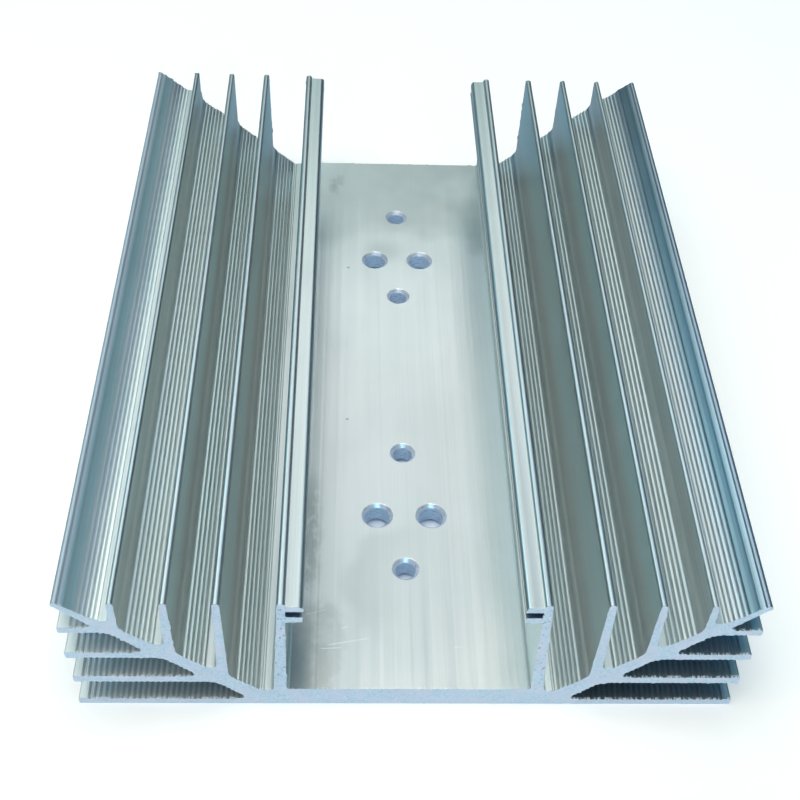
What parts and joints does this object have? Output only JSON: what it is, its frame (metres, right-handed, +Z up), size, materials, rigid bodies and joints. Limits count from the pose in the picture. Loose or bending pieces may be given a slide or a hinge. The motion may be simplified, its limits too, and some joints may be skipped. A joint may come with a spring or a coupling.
{
  "type": "extruded heat sink",
  "caption": "Extruded aluminium heat sink with fluted angled fins and a flat-floored channel, drilled for flanged power transistors.",
  "frame": {"origin": "middle of the flat underside", "axes": "+Z up through the fin tips, +Y along the bar towards its rear sawn end, +X across the bar"},
  "size_m": [0.1206, 0.16, 0.0318],
  "materials": {
    "extruded_aluminium": "satin, as extruded and clear anodised, with sawn ends"
  },
  "bodies": {
    "root": {"heat_sink": "extruded_aluminium"}
  },
  "joints": []
}
